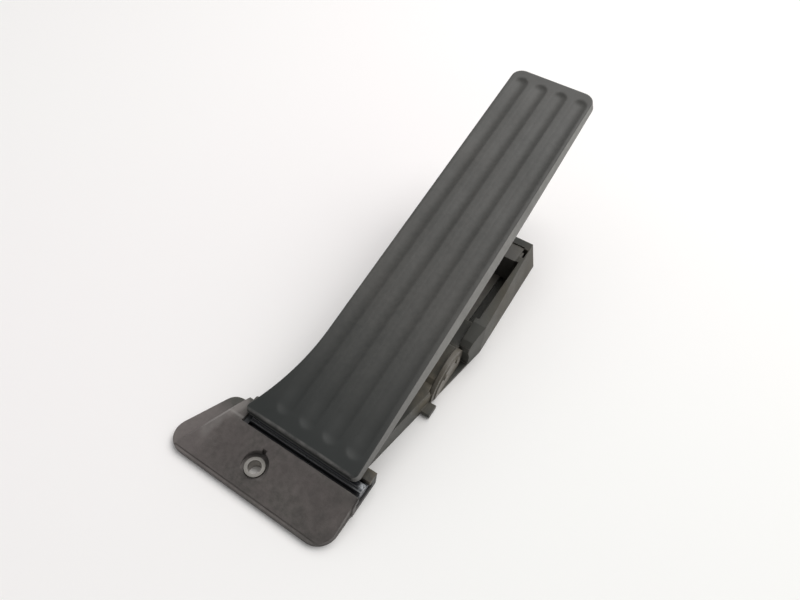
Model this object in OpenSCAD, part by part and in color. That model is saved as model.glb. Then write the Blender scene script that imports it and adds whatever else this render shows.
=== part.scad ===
/* [Treadle] */
// Length of the treadle from its lower edge to its tip
treadle_len = 260; // [250:1:270]
// Width of the treadle across its top face
treadle_w = 53; // [50:0.5:54]
// Angle of the released treadle above the floor
treadle_angle = 16; // [15:0.5:18]
// Height of the treadle's lower edge above the floor
treadle_z = 18; // [17.5:0.25:19]
// Depth of the side skirt at the lower edge
skirt_low = 4; // [3.5:0.25:4.5]
// Depth of the side skirt at its deepest place
skirt_mid = 7.5; // [6.5:0.25:8]
// Depth of the side skirt at the tip
skirt_tip = 5; // [4:0.25:6]
// How far the skirt leans out at its rim
skirt_draft = 2; // [1:0.25:2.25]
// Wall of the treadle's plate and skirt
treadle_wall = 2.6; // [2.2:0.1:3]
// Extra width of the flared lower left corner
flare_w = 11.5; // [6:0.5:14]
// Length of the flare along the left edge
flare_len = 52; // [40:1:70]
// Corner radius at the tip
tip_r = 7; // [4:0.5:10]

/* [Grooves] */
// Number of finger grooves in the treadle
groove_count = 4; // [3:1:4]
// Distance from one groove to the next
groove_pitch = 12.9; // [12:0.1:13.5]
// Width of a groove
groove_w = 8.6; // [6:0.1:9.5]
// Depth of a groove
groove_d = 1.4; // [0.6:0.1:1.6]
// Smooth margin between a groove's end and the treadle's edge
groove_margin = 7; // [6:0.5:12]

/* [Foot plate] */
// Distance from the floor bolt to the treadle's lower edge
bolt_x = 16; // [15:0.5:18]
// Distance from the floor bolt to the treadle's centre line
bolt_y = 16; // [10:0.5:20]
// Distance from the front edge of the plate to the floor bolt
foot_front = 12; // [11.5:0.5:14]
// Distance from the bolt to the plate's left edge
foot_left = 44; // [40:1:48]
// Thickness of the flat flange
flange_t = 2.8; // [2.2:0.1:3.4]
// Corner radius of the plate at the front
foot_r = 9; // [6:0.5:12]
// Hole through the steel bolt sleeves
bolt_hole_d = 6.4; // [5.4:0.1:7]
// Wall of the steel bolt sleeves
sleeve_wall = 1.6; // [1.2:0.1:2]

/* [Hinge] */
// Height of the lips that hold the hinge rail
lip_z = 12.2; // [11.5:0.1:12.8]
// Thickness of the flexible hinge web
web_t = 0.7; // [0.5:0.05:1]
// Width of the rail's foot inside its channel
rail_w = 12; // [11:0.25:13]
// Running clearance round the slid-in rail
rail_gap = 0.3; // [0.2:0.05:0.4]

/* [Housing] */
// Distance from the treadle's lower edge to the far end of the housing
base_len = 190; // [188:1:196]
// Height of the housing's side walls at the far end
base_h = 21.5; // [20.5:0.5:22.5]
// Where the side wall changes direction, from the treadle's lower edge
kink_x = 107; // [105:0.5:109]
// Half width of the right side at the kink
right_w = 39; // [38:0.5:41]
// Half width of the left side
left_w = 34; // [33:0.5:36]
// Front end of the open pocket, from the treadle's lower edge
pocket_x = 110; // [109.5:0.5:112]
// Thickness of the pocket's floor
floor_t = 3; // [2.5:0.1:3.4]

/* [Lever] */
// Distance from the treadle's lower edge to the lever's shaft
shaft_x = 80; // [79:0.5:81]
// Height of the lever's shaft above the floor
shaft_z = 9.6; // [9.4:0.1:9.8]
// Diameter of the lever's shaft
shaft_d = 5; // [4.5:0.1:5.2]
// Outer diameter of the lever's hub
hub_d = 12.6; // [12:0.1:13]
// Width of the lever's hub
hub_w = 17; // [16:0.5:18]
// Distance along the lever from its shaft to the roller
lever_len = 76; // [74:0.5:78]
// Diameter of the roller that bears on the treadle
roller_d = 8; // [7:0.25:8.5]
// Diameter of the roller's pin
pin_d = 3; // [2.5:0.1:3.2]

/* [Springs] */
// Wire diameter of the return springs
wire_d = 1.6; // [1.2:0.1:1.7]
// Mean coil diameter of the return springs
coil_d = 9.6; // [9:0.1:9.8]
// Turns in each return spring
coil_turns = 4; // [3:1:4]

/* [Sensor] */
// Diameter of the magnet at the end of the shaft
magnet_d = 5; // [4.5:0.25:5.5]
// Width of the arched sensor cover
cap_d = 34; // [33:0.5:34.5]
// Number of pins in the connector
pin_count = 6; // [4:1:6]
// Distance from one connector pin to the next
pin_pitch = 3.4; // [3:0.1:3.5]

/* [Hidden] */
$fn = 64;
// small overlap that keeps cuts clean
eps = 0.05;
// seat gap between pieces that touch
seat = 0.15;
// running clearance of the shaft in its bushes
running = 0.03;
black = [0.2, 0.2, 0.19];
dark = [0.15, 0.15, 0.15];
natural = [0.78, 0.76, 0.7];
steel = [0.68, 0.68, 0.66];
brass = [0.75, 0.62, 0.32];
rubber = [0.1, 0.1, 0.1];
green = [0.1, 0.32, 0.2];

// pieces are placed from the middle of the treadle's lower edge, over the floor
module on_line() {
  translate([bolt_x, -bolt_y, 0]) children();
}
// the floor bolt, seen from that same place
bolt = [-bolt_x, bolt_y];
// the treadle's own plane, with its top face at zero
module on_treadle() {
  on_line() translate([0, 0, treadle_z]) rotate([0, -treadle_angle, 0]) children();
}
// a round bar with its axis across the housing
module along_y(d, y0, y1, x = 0, z = 0) {
  translate([x, y1, z]) rotate([90, 0, 0]) cylinder(d = d, h = y1 - y0);
}
// a profile drawn in length and height, with a width across the housing
module profile(points, y0, y1) {
  translate([0, y1, 0]) rotate([90, 0, 0]) linear_extrude(y1 - y0) polygon(points);
}
// a box from its lowest to its highest corner
module block(a, b) {
  translate(a) cube(b - a);
}
// a closed solid through rings with the same number of points, each turning round the way they follow;
// its two ends are closed from a middle point, which has to see the whole ring
function middle(ring) = ([for (p = ring) 1] * ring) / len(ring);
module loft(rings, hubs = []) {
  n = len(rings[0]);
  m = len(rings);
  ends = len(hubs) == 2 ? hubs : [middle(rings[0]), middle(rings[m - 1])];
  sides = [for (k = [0 : m - 2], i = [0 : n - 1]) let (j = (i + 1) % n)
    each [[k * n + i, (k + 1) * n + i, k * n + j], [k * n + j, (k + 1) * n + i, (k + 1) * n + j]]];
  caps = [for (i = [0 : n - 1]) let (j = (i + 1) % n)
    each [[i, j, m * n], [(m - 1) * n + j, (m - 1) * n + i, m * n + 1]]];
  polyhedron(points = concat([for (r = rings) each r], ends), faces = concat(sides, caps), convexity = 6);
}

// outline of the treadle
half_w = treadle_w / 2;
low_taper = 2.6;
right_taper = 0.8;
low_r = 2.5;
edge_r = 0.8;
corner_steps = 5;
flare_steps = 10;
flare_r = (flare_len * flare_len + flare_w * flare_w) / (2 * flare_w);
function flare(u) = u >= flare_len ? 0 : flare_r - sqrt(flare_r * flare_r - pow(flare_len - u, 2));
function left_v(u) = half_w - low_taper * (1 - u / treadle_len) + flare(u);
function right_v(u) = half_w + right_taper * (1 - u / treadle_len);
function corner(u, v, r, a0) = [for (k = [0 : corner_steps])
  [u + r * cos(a0 + 90 * k / corner_steps), v + r * sin(a0 + 90 * k / corner_steps)]];
function treadle_outline(grow, r) = concat(
  corner(low_r - grow, -right_v(0) - grow + low_r, low_r, 180),
  corner(treadle_len + grow - r, -right_v(treadle_len) - grow + r, r, 270),
  corner(treadle_len + grow - r, left_v(treadle_len) + grow - r, r, 0),
  [for (k = [0 : flare_steps]) let (u = flare_len + (low_r - flare_len) * k / flare_steps)
    [u, left_v(u) + grow]],
  [[-grow, left_v(0) + grow - low_r]]);
function ring_at(outline, n) = [for (p = outline) [p[0], p[1], n]];
// the skirt is deepest a little below the middle
belly_u = treadle_len * 0.45;
skirt_steps = 12;
function skirt(u) = u < belly_u ? skirt_low + (skirt_mid - skirt_low) * sin(90 * u / belly_u)
  : skirt_tip + (skirt_mid - skirt_tip) * cos(90 * (u - belly_u) / (treadle_len - belly_u));
// grooves are shallow troughs of a large radius
groove_r = (groove_w * groove_w / 4 + groove_d * groove_d) / (2 * groove_d);
groove_v0 = -groove_pitch * (groove_count - 1) / 2 - 0.8;
// ribs under the plate
track_v = 8;
rib_t = 1.6;
rib_d = 2.4;
rib_pitch = 26;
rib_u0 = 98;
rib_u1 = treadle_len - 8;
rib_count = floor((rib_u1 - rib_u0) / rib_pitch);

// the treadle is one moulding, hollow underneath, with finger grooves on top
module treadle() {
  color(black) on_treadle() {
    difference() {
      loft([ring_at(treadle_outline(skirt_draft, tip_r), -skirt_mid),
        ring_at(treadle_outline(0, tip_r), -edge_r),
        ring_at(treadle_outline(-edge_r, tip_r - edge_r), 0)],
        [[flare_len, 0, -skirt_mid], [flare_len, 0, 0]]);
      profile(concat([[-10, -20], [-10, -skirt(0)]],
        [for (k = [0 : skirt_steps]) let (u = treadle_len * k / skirt_steps) [u, -skirt(u)]],
        [[treadle_len + 10, -skirt_tip], [treadle_len + 10, -20]]), -80, 80);
      translate([0, 0, -20]) linear_extrude(20 - treadle_wall)
        polygon(treadle_outline(-treadle_wall + 0.8, tip_r - 1.8));
      for (i = [0 : groove_count - 1]) treadle_groove(groove_v0 + i * groove_pitch);
    }
    treadle_ribs();
  }
}
// one finger groove with round ends
module treadle_groove(v) {
  u0 = groove_margin + groove_w / 2;
  run = treadle_len - 2 * u0;
  translate([u0, v, groove_r - groove_d]) rotate([0, 90, 0]) rotate_extrude() intersection() {
    translate([0, -groove_r]) square([groove_r, run + 2 * groove_r]);
    union() {
      circle(r = groove_r);
      translate([0, run]) circle(r = groove_r);
      square([groove_r, run]);
    }
  }
}
// two long ribs guide the roller, and the others stiffen the plate crosswise
module treadle_ribs() {
  z1 = -treadle_wall + eps;
  z0 = z1 - rib_d;
  for (s = [-1, 1])
    block([rib_u0, s * track_v - rib_t / 2, z0], [rib_u1, s * track_v + rib_t / 2, z1]);
  for (i = [0 : rib_count]) let (u = rib_u0 + i * rib_pitch) {
    block([u, track_v, z0], [u + rib_t, half_w - 1, z1]);
    block([u, -half_w + 1, z0], [u + rib_t, -track_v, z1]);
  }
}

// the hinge: a rail held in a channel, and a thin web from it to the treadle
hinge_x = 1;
// the web runs from inside the channel up to the treadle's lower rim
web_z0 = lip_z - 0.6;
web_z1 = treadle_z + hinge_x * tan(treadle_angle) - skirt_low / cos(treadle_angle) - 0.1;
hinge_z = (web_z0 + web_z1) / 2;
// how far the treadle turns, and its angle when it is pressed down
travel = 12;
stop_angle = treadle_angle - travel;
// distance from the hinge line to the treadle's top face
hinge_arm = hinge_x * sin(treadle_angle) + (treadle_z - hinge_z) * cos(treadle_angle);
rail_z0 = 4;
rail_h = 3.6;
rail_y = [-31, 31];
neck_y = [-24, 27];
channel_w = rail_w + 2 * rail_gap;
mouth_front = 4.5;
mouth_back = 4;
module hinge_rail() {
  z0 = rail_z0 + rail_gap;
  color(dark) on_line() {
    block([hinge_x - rail_w / 2, rail_y[0], z0], [hinge_x + rail_w / 2, rail_y[1], z0 + rail_h]);
    profile([[hinge_x - 2.2, z0 + rail_h - eps], [hinge_x + 2.2, z0 + rail_h - eps],
      [hinge_x + 1, web_z0], [hinge_x - 1, web_z0]], neck_y[0], neck_y[1]);
  }
}
module hinge_web() {
  color(dark) on_line()
    block([hinge_x - web_t / 2, neck_y[0], web_z0 + seat], [hinge_x + web_t / 2, neck_y[1], web_z1 - seat]);
}

// outlines of the housing
foot_x0 = bolt[0] - foot_front;
foot_y1 = bolt[1] + foot_left;
block_back = 11;
block_right = -32;
block_left = 37;
wall_start = 28;
start_w = 27;
end_in = 6;
end_t = 12;
wall_in = half_w + skirt_draft + 1.6;
rise_x = 92;
rise_z = 18;
deck_h = 14;
pocket_deck = 16.4;
// room for the lever and its springs under the deck
cavity_x = [62, 107];
cavity_y = 21;
bush_y = 24;
slot_y = track_v - 0.6;
bush_len = bush_y - cavity_y;
cover_t = 1.6;
shoe_y = 7;
cover_x = [58, 110];
cover_y = 27.5;
screw_x = [65, 103];
screw_y = 24.5;
screw_d = 2.8;
screw_len = 8;
head_d = 5.2;
head_t = 0.8;
// sensor room and its cover
room_x = [70, 90];
room_z = [2, 14.4];
hump_z = 15.6;
cap_y = [-32.6, -30.4];
cap_x = shaft_x - 2;
cap_z = 4.2;
rim_z = 9.5;
ring_y = cap_y[1] + seat;
// block with the connector
plug_x = [base_len - 26, base_len - 12];
plug_y = [-30, 2];
plug_z = [3, base_h - 0.7];
mouth_y = [-27, -1];
mouth_z = [4.5, 17.5];
mouth_x = base_len - 2;
// bolted ears under the treadle's tip
ears = [[base_len + 9, 12], [base_len - 14, left_w + 5]];
ear_r = 8;
ear_t = 6;

module foot_plan() {
  hull() {
    translate([foot_x0 + foot_r, foot_y1 - foot_r]) circle(r = foot_r, $fn = 48);
    translate([foot_x0 + 30, foot_y1 - 15]) circle(r = 7, $fn = 48);
    translate([foot_x0 + foot_r + 1, block_right + foot_r + 1.6]) circle(r = foot_r + 1, $fn = 48);
    translate([block_back - 2, block_right + 0.4]) square([1, block_left - block_right - 1]);
  }
}
// the housing's outline on the floor and at the top of its walls
shell_steps = 5;
function along(a, b, n) = [for (k = [0 : n]) a + (b - a) * k / n];
function side_y(w, x) = start_w + (w - start_w) * (x - wall_start) / (kink_x - wall_start);
function shell_ring(z, x1, t, lean_r, lean_l) = let (x0 = block_back - 5) concat(
  [[x0, t - side_y(right_w, x0), z]],
  along([kink_x, t - right_w, z], [x1, lean_r + 1.5 - right_w, z], shell_steps),
  along([x1, left_w - 1.5 - lean_l, z], [kink_x, left_w - t, z], shell_steps),
  [[x0, side_y(left_w, x0) - t, z]]);
// heights of the deck under the treadle
deck = [[block_back - 2, lip_z - 1.2], [50, 12.4], [shaft_x, deck_h], [rise_x, deck_h + 0.9]];
// the base is one moulding: foot plate, hinge channel, housing and outer walls
module base_housing() {
  color(black) on_line() difference() {
    union() {
      linear_extrude(flange_t) foot_plan();
      foot_wedge();
      hinge_block();
      housing_shell();
      for (p = ears) ear(p);
      along_y(hub_d + 6, -bush_y + 0.6, bush_y - 1.8, shaft_x, shaft_z);
      along_y(hub_d - 0.4, bush_y - 2, bush_y + 0.6, shaft_x, shaft_z);
      block([54, -36, 0.5], [61, -30, 3.4]);
      sensor_hump();
    }
    foot_cuts();
    lever_cavity();
    open_pocket();
    sensor_room();
    connector_seat();
    for (p = ears) sleeve_hole(p, 30);
  }
}
module housing_shell() {
  difference() {
    loft([shell_ring(0, base_len, 0, 0, 0), shell_ring(base_h, base_len - end_in, 1, 4.4, 2)]);
    // everything above the deck, up to where the walls start
    profile(concat([[-30, 50], [-30, deck[0][1]]], deck,
      [[rise_x + 4, rise_z], [kink_x, base_h], [kink_x + 1, 50]]), -70, 70);
    // room for the treadle between the walls
    profile([[rise_x - 1, 50], [rise_x - 1, deck_h + 0.86], [pocket_x, pocket_deck],
      [base_len - end_t, pocket_deck], [base_len - end_t + 2, 50]], -wall_in, wall_in);
  }
}
// the sloped body in front of the hinge, which carries the bolt
module foot_wedge() {
  x0 = foot_x0 + 1.5;
  x1 = -mouth_front + 1;
  x2 = block_back - 3;
  z0 = flange_t + 0.4;
  intersection() {
    profile([[x0, 0], [x0, z0], [x1 - 1.6, lip_z - 0.35], [x1, lip_z], [x2, lip_z - 0.5], [x2, 0]], block_right + 0.8, 70);
    linear_extrude(30) foot_plan();
    // its left side slopes down to the flange
    translate([-20, bolt[1] + 37.5, z0]) rotate([0, 0, -28.5]) rotate([0, -18, 0])
      profile_across([[-90, -20], [8, -20], [0, 0], [-12, 12], [-90, 12]], -60, 60);
  }
}
// a profile drawn in width and height, with a length along the housing
module profile_across(points, x0, x1) {
  translate([x0, 0, 0]) rotate([90, 0, 90]) linear_extrude(x1 - x0) polygon(points);
}
module hinge_block() {
  profile([[-8, 0.3], [block_back, 0.3], [block_back, lip_z - 1.6], [block_back - 1, lip_z - 0.6], [-4, lip_z - 0.1],
    [-8, lip_z - 3]], block_right, block_left);
}
module sleeve_hole(p, h) {
  translate([p[0], p[1], -1]) cylinder(d = bolt_hole_d + 2 * sleeve_wall + 2 * seat, h = h);
}
module foot_cuts() {
  seat_z = lip_z - 6.4;
  well_d = bolt_hole_d + 2 * sleeve_wall + 3.4;
  sleeve_hole(bolt, 30);
  translate([bolt[0], bolt[1], seat_z]) cylinder(d = well_d, h = 20);
  block([bolt[0] + well_d / 2 - 1, bolt[1] - 1.2, seat_z + 0.4], [bolt[0] + well_d / 2 + 1.2, bolt[1] + 1.2, 20]);
  // channel for the rail, open at the right end
  block([hinge_x - channel_w / 2, block_right - 1, rail_z0],
    [hinge_x + channel_w / 2, rail_y[1] + 0.5, rail_z0 + rail_h + 2 * rail_gap]);
  block([hinge_x - mouth_front, block_right - 1, rail_z0 + 1], [hinge_x + mouth_back, rail_y[1] + 3, 20]);
}
module lever_cavity() {
  block([cavity_x[0], -cavity_y, -1], [cavity_x[1], cavity_y, shaft_z]);
  block([shaft_x + 4, -cavity_y + 2, -1], [cavity_x[1] - 2, cavity_y - 2, deck_h - 1]);
  along_y(hub_d + 2.4, -cavity_y, cavity_y, shaft_x, shaft_z);
  // slot through the deck for the lever
  block([shaft_x, -slot_y, shaft_z], [pocket_x + 1, slot_y, 30]);
  // bores for the bushes
  along_y(shaft_d + 3 + 2 * seat, -bush_y - 1, bush_y, shaft_x, shaft_z);
  // place of the friction shoe
  block([cavity_x[0], -shoe_y - seat, 0], [shaft_x, shoe_y + seat, shaft_z + 2 + seat]);
  // seat of the cover in the underside, and its screws
  block([cover_x[0] - seat, -cover_y - seat, -1], [cover_x[1] + seat, cover_y + seat, cover_t + seat]);
  for (x = screw_x, s = [-1, 1]) translate([x, s * screw_y, 0]) cylinder(d = screw_d, h = screw_len + 1);
}
module open_pocket() {
  block([pocket_x, -right_w + 7, floor_t], [plug_x[0], left_w - 6, 40]);
}
module connector_seat() {
  block([plug_x[0] - 1, plug_y[0] - seat, plug_z[0]], [plug_x[1] + seat, plug_y[1] + seat, 40]);
  block([plug_x[1] - 1, mouth_y[0] - seat, mouth_z[0] - seat], [base_len + 20, mouth_y[1] + seat, mouth_z[1] + seat]);
  // window for the snap hook, open to the right
  block([plug_x[0] + 5, plug_y[0] - 3, mouth_z[1] - 2], [plug_x[1] - 1, plug_y[0] + 1, 40]);
}
module ear(p) {
  hull() {
    translate(p) cylinder(r = ear_r, h = ear_t, $fn = 48);
    translate([min(p[0], base_len - 8) - 3, min(p[1], left_w - 5) - ear_r, 0]) cube([3, 2 * ear_r - 4, ear_t]);
  }
}
// arched body round the sensor's room, low enough for the treadle's skirt
module sensor_hump() {
  intersection() {
    along_y(cap_d - 1, ring_y, 0.6 - bush_y, cap_x, cap_z);
    block([cap_x - cap_d, -60, 1], [cap_x + cap_d, 0, hump_z]);
  }
}
module sensor_room() {
  block([room_x[0], -60, room_z[0]], [room_x[1], -bush_y, room_z[1]]);
  // seat of the sensor cover, open at the top
  intersection() {
    along_y(cap_d + 2 * seat, -60, ring_y, cap_x, cap_z);
    block([0, -60, 0.9], [200, 0, 60]);
  }
  block([cap_x - cap_d / 2 - 1, -60, rim_z], [cap_x + cap_d / 2 - 2, ring_y, 40]);
}

module sleeve(p, z1) {
  translate([p[0], p[1], 0]) difference() {
    cylinder(d = bolt_hole_d + 2 * sleeve_wall, h = z1);
    translate([0, 0, -1]) cylinder(d = bolt_hole_d, h = z1 + 2);
  }
}
module foot_sleeve() {
  color(steel) on_line() sleeve(bolt, lip_z - 5.4);
}
module upper_sleeves() {
  color(steel) on_line() for (p = ears) sleeve(p, ear_t + 0.3);
}

// the lever: its angle at rest puts the roller against the treadle
gap_track = 0.25;
roller_drop = treadle_wall + gap_track + roller_d / 2;
shaft_drop = (treadle_z + shaft_x * tan(treadle_angle) - shaft_z) * cos(treadle_angle);
lever_angle = treadle_angle + asin((shaft_drop - roller_drop) / lever_len);
roller_w = 6.4;
fork_w = 11;
arm_w = 9;
bar_d = 3.2;
bar_dist = 13;
bar_angle = lever_angle - 30;
// pieces of the lever are drawn along its arm
module on_lever() {
  on_line() translate([shaft_x, 0, shaft_z]) rotate([0, -lever_angle, 0]) children();
}
module drive_lever() {
  color(black) on_lever() difference() {
    union() {
      along_y(hub_d, -hub_w / 2, hub_w / 2);
      profile([[0, -4.6], [0, 5.4], [lever_len * 0.5, 4], [lever_len - 2, 2.8], [lever_len - 2, -2.8],
        [lever_len * 0.5, -3.6]], -arm_w / 2, arm_w / 2);
      along_y(roller_d - 1.8, -fork_w / 2, fork_w / 2, lever_len);
      block([lever_len - 8, -fork_w / 2, -2.6], [lever_len, fork_w / 2, 2.6]);
      rotate([0, lever_angle - bar_angle, 0]) {
        along_y(bar_d, -cavity_y + 3.2, cavity_y - 3.2, bar_dist);
        block([0, -hub_w / 2, -bar_d / 2], [bar_dist, hub_w / 2, bar_d / 2]);
      }
    }
    along_y(shaft_d, -30, 30);
    block([lever_len - roller_d / 2 - 0.4, -roller_w / 2 - seat, -10],
      [lever_len + 10, roller_w / 2 + seat, 10]);
    along_y(pin_d, -30, 30, lever_len);
    // lightening pockets on both sides of the arm
    for (s = [-1, 1]) profile([[10, -2.4], [10, 3], [lever_len * 0.5, 2.2], [lever_len - 12, 1.4],
      [lever_len - 12, -1.4], [lever_len * 0.5, -2]], s > 0 ? 1.2 : -arm_w, s > 0 ? arm_w : -1.2);
  }
}
module lever_roller() {
  color(natural) on_lever() difference() {
    along_y(roller_d, -roller_w / 2, roller_w / 2, lever_len);
    along_y(pin_d + 2 * running, -10, 10, lever_len);
  }
}
module roller_pin() {
  color(steel) on_lever() along_y(pin_d, -fork_w / 2, fork_w / 2, lever_len);
}
magnet_y = [-27.6, -25.4];
module lever_shaft() {
  color(steel) on_line() along_y(shaft_d, magnet_y[1] + seat, bush_y - seat, shaft_x, shaft_z);
}
module shaft_bushes() {
  color(natural) on_line() for (s = [-1, 1]) difference() {
    along_y(shaft_d + 3, s > 0 ? cavity_y + seat : -bush_y, s > 0 ? bush_y - seat : -cavity_y - seat, shaft_x, shaft_z);
    along_y(shaft_d + 2 * running, -40, 40, shaft_x, shaft_z);
  }
}

// return springs on the shaft, on both sides of the hub
spring_sides = 6;
spring_steps = 16;
leg_len = 13;
coil_pitch = wire_d + 0.25;
spring_y0 = hub_w / 2 + wire_d / 2 + 0.3;
leg_angle = bar_angle + asin((coil_d / 2 - bar_d / 2 - wire_d / 2 - 0.25) / bar_dist);
// the wire's centre line: a leg under the lever's bar, the coil, and a leg on the cover
function coil_point(a, y) = [coil_d / 2 * sin(a), y, -coil_d / 2 * cos(a)];
spring_path = let (turn = 360 * coil_turns + leg_angle, n = coil_turns * spring_steps)
  concat([coil_point(-leg_angle, 0) + leg_len * [cos(leg_angle), 0, sin(leg_angle)]],
    [for (k = [0 : n]) let (f = k / n) coil_point(-leg_angle - f * (360 * coil_turns - leg_angle), f * coil_turns * coil_pitch)],
    [[-leg_len, coil_turns * coil_pitch, -coil_d / 2]]);
function unit(v) = v / norm(v);
module wire(path, r) {
  n = len(path);
  frames = [for (k = [0 : n - 1]) let (
    d = unit(path[min(k + 1, n - 1)] - path[max(k - 1, 0)]),
    a = unit(cross(d, [0, 1, 0])),
    b = cross(d, a)) [path[k], a, b]];
  loft([for (f = frames) [for (i = [0 : spring_sides - 1]) let (t = 360 * i / spring_sides)
    f[0] + r * cos(t) * f[1] + r * sin(t) * f[2]]]);
}
module return_spring() {
  translate([0, spring_y0, 0]) wire(spring_path, wire_d / 2);
}
module return_spring_left() {
  color(steel) on_line() translate([shaft_x, 0, shaft_z]) return_spring();
}
module return_spring_right() {
  color(steel) on_line() translate([shaft_x, 0, shaft_z]) mirror([0, 1, 0]) return_spring();
}

// a curved shoe that rubs on the hub and damps the pedal
module friction_shoe() {
  color(natural) on_line() difference() {
    block([cavity_x[0] + seat, -shoe_y, cover_t + seat], [shaft_x - 4, shoe_y, shaft_z + 2]);
    along_y(hub_d + 0.5, -10, 10, shaft_x, shaft_z);
  }
}

// the magnet turns with the shaft, and the board behind it reads its angle
carrier_d = magnet_d + 2;
module magnet_carrier() {
  color(dark) on_line() difference() {
    along_y(carrier_d, magnet_y[0], -bush_y - 0.4, shaft_x, shaft_z);
    along_y(magnet_d, magnet_y[0] - 1, magnet_y[1] + eps, shaft_x, shaft_z);
    along_y(shaft_d, magnet_y[1], 0, shaft_x, shaft_z);
  }
}
module sensor_magnet() {
  color(steel) on_line() along_y(magnet_d, magnet_y[0], magnet_y[1], shaft_x, shaft_z);
}
board_y = [-30, -28.8];
module sensor_board() {
  color(green) on_line()
    block([room_x[0] + 0.4, board_y[0], room_z[0] + 0.3], [room_x[1] - 0.4, board_y[1], room_z[1] - 0.3]);
}
module hall_chips() {
  color(dark) on_line() for (z = [shaft_z - 4.6, shaft_z + 0.2])
    block([shaft_x - 2.4, board_y[1], z], [shaft_x + 2.4, board_y[1] + 0.8, z + 2.6]);
}
// the cover is an arched lid with a stepped face
module sensor_cover() {
  color(black) on_line() intersection() {
    union() {
      along_y(cap_d, cap_y[0], cap_y[1], cap_x, cap_z);
      along_y(cap_d - 7, cap_y[0] - 0.7, cap_y[1], cap_x, cap_z);
    }
    block([0, -60, 1.1], [200, 0, 60]);
  }
}
module sensor_seal() {
  color(rubber) on_line() difference() {
    block([room_x[0] + 0.2, cap_y[1], room_z[0] + 0.15], [room_x[1] - 0.2, board_y[0], room_z[1] - 0.15]);
    block([room_x[0] + 1.6, -60, room_z[0] + 1.4], [room_x[1] - 1.6, 0, room_z[1] - 1.4]);
  }
}
stud_d = 3.2;
stud_x = 6.5;
module sensor_cover_screws() {
  color(steel) on_line() for (s = [-1, 1])
    along_y(stud_d, cap_y[0] - 1.5, cap_y[0] - 0.7, cap_x + s * stud_x, cap_z + 9.6);
}
// six leads run along the pocket's floor to the connector, under a flat strip
lead_t = 0.5;
lead_x = [pocket_x + 0.5, plug_x[0] - 0.5];
pin_y = [for (i = [0 : pin_count - 1]) (mouth_y[0] + mouth_y[1]) / 2 + (i - (pin_count - 1) / 2) * pin_pitch];
module lead_frame() {
  color(brass) on_line() for (y = pin_y)
    block([lead_x[0], y - lead_t, floor_t], [lead_x[1], y + lead_t, floor_t + lead_t]);
}
module lead_cover() {
  y0 = pin_y[0] - 2;
  y1 = pin_y[pin_count - 1] + 2;
  z0 = floor_t + lead_t;
  color(black) on_line() {
    block([lead_x[0] - 0.2, y0, z0], [lead_x[1] + 0.2, y1, z0 + 1.2]);
    for (y = [y0, y1 - 0.8]) block([lead_x[0] - 0.2, y, floor_t], [lead_x[1] + 0.2, y + 0.8, z0 + 0.1]);
  }
}

module connector_shroud() {
  color(black) on_line() difference() {
    union() {
      block([plug_x[0], plug_y[0], plug_z[0] + seat], [plug_x[1], plug_y[1], plug_z[1]]);
      block([plug_x[1] - 1, mouth_y[0], mouth_z[0]], [mouth_x, mouth_y[1], mouth_z[1]]);
      block([plug_x[0] + 6, plug_y[0] - 1.4, mouth_z[1] - 1.6], [plug_x[1] - 3, plug_y[0] + 1, mouth_z[1] + 2.4]);
    }
    block([plug_x[1] - 4, mouth_y[0] + 1.6, mouth_z[0] + 1.6], [mouth_x + 5, mouth_y[1] - 1.6, mouth_z[1] - 1.6]);
    connector_pin_bars();
  }
}
pin_t = 0.8;
pin_z = 9;
module connector_pin_bars() {
  for (y = pin_y)
    block([plug_x[0] + 2, y - pin_t / 2, pin_z - pin_t / 2], [mouth_x - 4, y + pin_t / 2, pin_z + pin_t / 2]);
}
module connector_pins() {
  color(brass) on_line() connector_pin_bars();
}
// rubber pads that stop the pressed treadle
pad_x = base_len - end_in - 2.3;
pad_top = hinge_z + (hinge_arm + sin(stop_angle) * (pad_x - hinge_x)) / cos(stop_angle) - treadle_wall - 0.4;
module stop_pads() {
  color(rubber) on_line() for (y = [14.2, 21.4])
    translate([pad_x, y, base_h]) cylinder(d = 4.4, h = pad_top - base_h);
}
// plate that closes the lever's room from below
module bottom_cover() {
  color(dark) on_line() difference() {
    union() {
      block([cover_x[0], -cover_y, 0], [cover_x[1], cover_y, cover_t]);
      for (s = [-1, 1]) translate([shaft_x - leg_len - 3, s > 0 ? shoe_y + 0.6 : 1 - cavity_y, 0])
        cube([6, cavity_y - shoe_y - 1.6, shaft_z - coil_d / 2 - wire_d / 2 - seat]);
    }
    for (x = screw_x, s = [-1, 1]) translate([x, s * screw_y, -1]) {
      cylinder(d = screw_d + 0.4, h = screw_len);
      cylinder(d = head_d + 0.4, h = 1 + head_t + 0.1);
    }
  }
}
module bottom_cover_screws() {
  color(steel) on_line() for (x = screw_x, s = [-1, 1]) translate([x, s * screw_y, 0]) {
    translate([0, 0, 0.1]) cylinder(d = head_d, h = head_t);
    translate([0, 0, 0.1]) cylinder(d = screw_d, h = screw_len - 0.1);
  }
}

base_housing();
foot_sleeve();
upper_sleeves();
hinge_rail();
hinge_web();
treadle();
drive_lever();
lever_roller();
roller_pin();
lever_shaft();
shaft_bushes();
return_spring_left();
return_spring_right();
friction_shoe();
magnet_carrier();
sensor_magnet();
sensor_board();
hall_chips();
lead_frame();
lead_cover();
sensor_cover();
sensor_seal();
sensor_cover_screws();
connector_shroud();
connector_pins();
stop_pads();
bottom_cover();
bottom_cover_screws();
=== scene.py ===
import math

import bpy
import bmesh
from mathutils import Matrix, Vector


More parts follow.
